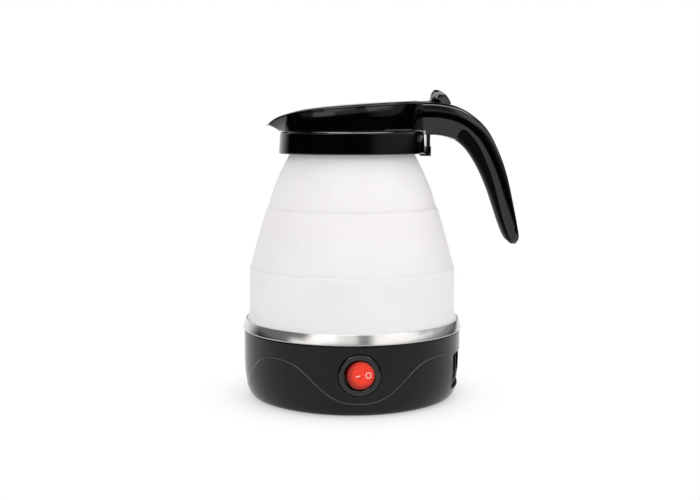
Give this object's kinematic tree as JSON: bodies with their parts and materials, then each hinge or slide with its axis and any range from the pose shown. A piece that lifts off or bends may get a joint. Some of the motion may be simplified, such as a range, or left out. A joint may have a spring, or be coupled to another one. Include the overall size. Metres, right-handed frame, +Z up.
{
  "type": "collapsible kettle",
  "caption": "Electric travel kettle with a fold-down translucent silicone body, black powered base with a red rocker switch, hinged spouted lid and hooked handle.",
  "frame": {"origin": "on the kettle's axis at the bottom cover's flat underside, 0.6 mm above the table that the feet stand on", "axes": "+Z up along the body's axis, +X towards the handle, -X towards the spout, -Y towards the switch"},
  "size_m": [0.1643, 0.1319, 0.1809],
  "materials": {
    "gloss_black": "gloss black moulded plastic",
    "satin_black": "satin black moulded plastic",
    "rubber_black": "matt black rubber",
    "white_silicone": "soft translucent white silicone",
    "red_lens": "clear red plastic",
    "steel": "bright steel",
    "aluminium": "cast aluminium",
    "brass": "plain brass",
    "ceramic": "pale unglazed ceramic",
    "lamp_glass": "small neon lamp glass",
    "wire_brown": "brown wire insulation",
    "wire_blue": "blue wire insulation",
    "wire_green": "green wire insulation",
    "wire_white": "white sleeved wire insulation"
  },
  "bodies": {
    "base": {"base_housing": "gloss_black", "base_cover": "satin_black", "foot_1": "rubber_black", "foot_2": "rubber_black", "foot_3": "rubber_black", "foot_4": "rubber_black", "long_screw_1": "steel", "long_screw_2": "steel", "long_screw_3": "steel", "clamp_ring": "steel", "heating_pan": "steel", "heat_spreader": "aluminium", "heating_element": "steel", "element_pin_1": "steel", "element_pin_2": "steel", "thermostat": "ceramic", "thermostat_tab_1": "brass", "thermostat_tab_2": "brass", "thermal_fuse": "wire_white", "switch_body": "gloss_black", "switch_lamp": "lamp_glass", "switch_tab_1": "brass", "switch_tab_2": "brass", "switch_tab_3": "brass", "inlet_socket": "satin_black", "inlet_pin_live": "brass", "inlet_pin_neutral": "brass", "inlet_pin_earth": "brass", "lead_live": "wire_brown", "lead_switched": "wire_brown", "lead_lamp": "wire_blue", "lead_neutral": "wire_blue", "lead_fuse_in": "wire_white", "lead_fuse_out": "wire_white", "lead_earth": "wire_green", "silicone_body": "white_silicone"},
    "top": {"collar": "gloss_black", "neck_ring": "satin_black", "neck_gasket": "rubber_black", "spout_housing": "gloss_black", "handle_shell": "gloss_black", "handle_grip": "satin_black", "handle_screw_1": "steel", "handle_screw_2": "steel", "hinge_pin": "steel"},
    "lid": {"lid": "gloss_black"},
    "rocker": {"switch_rocker": "red_lens"},
    "latch": {"latch_clip": "gloss_black"}
  },
  "joints": [
    {"name": "collapse", "type": "slide", "parent": "base", "child": "top", "axis": [0, 0, -1], "range_m": [0, 0.07], "deforming": ["silicone_body"]},
    {"name": "lid_hinge", "type": "hinge", "parent": "top", "child": "lid", "pos_m": [0.0465, 0, 0.168], "axis": [0, 1, 0], "range_deg": [0, 70]},
    {"name": "switch_rock", "type": "hinge", "parent": "base", "child": "rocker", "pos_m": [0, -0.062, 0.0244], "axis": [0, 0, -1], "range_deg": [0, 20]},
    {"name": "latch_release", "type": "hinge", "parent": "top", "child": "latch", "pos_m": [0.0449, 0, 0.1566], "axis": [0, -1, 0], "range_deg": [0, 15], "stiffness_Nm_per_rad": 0.05}
  ]
}
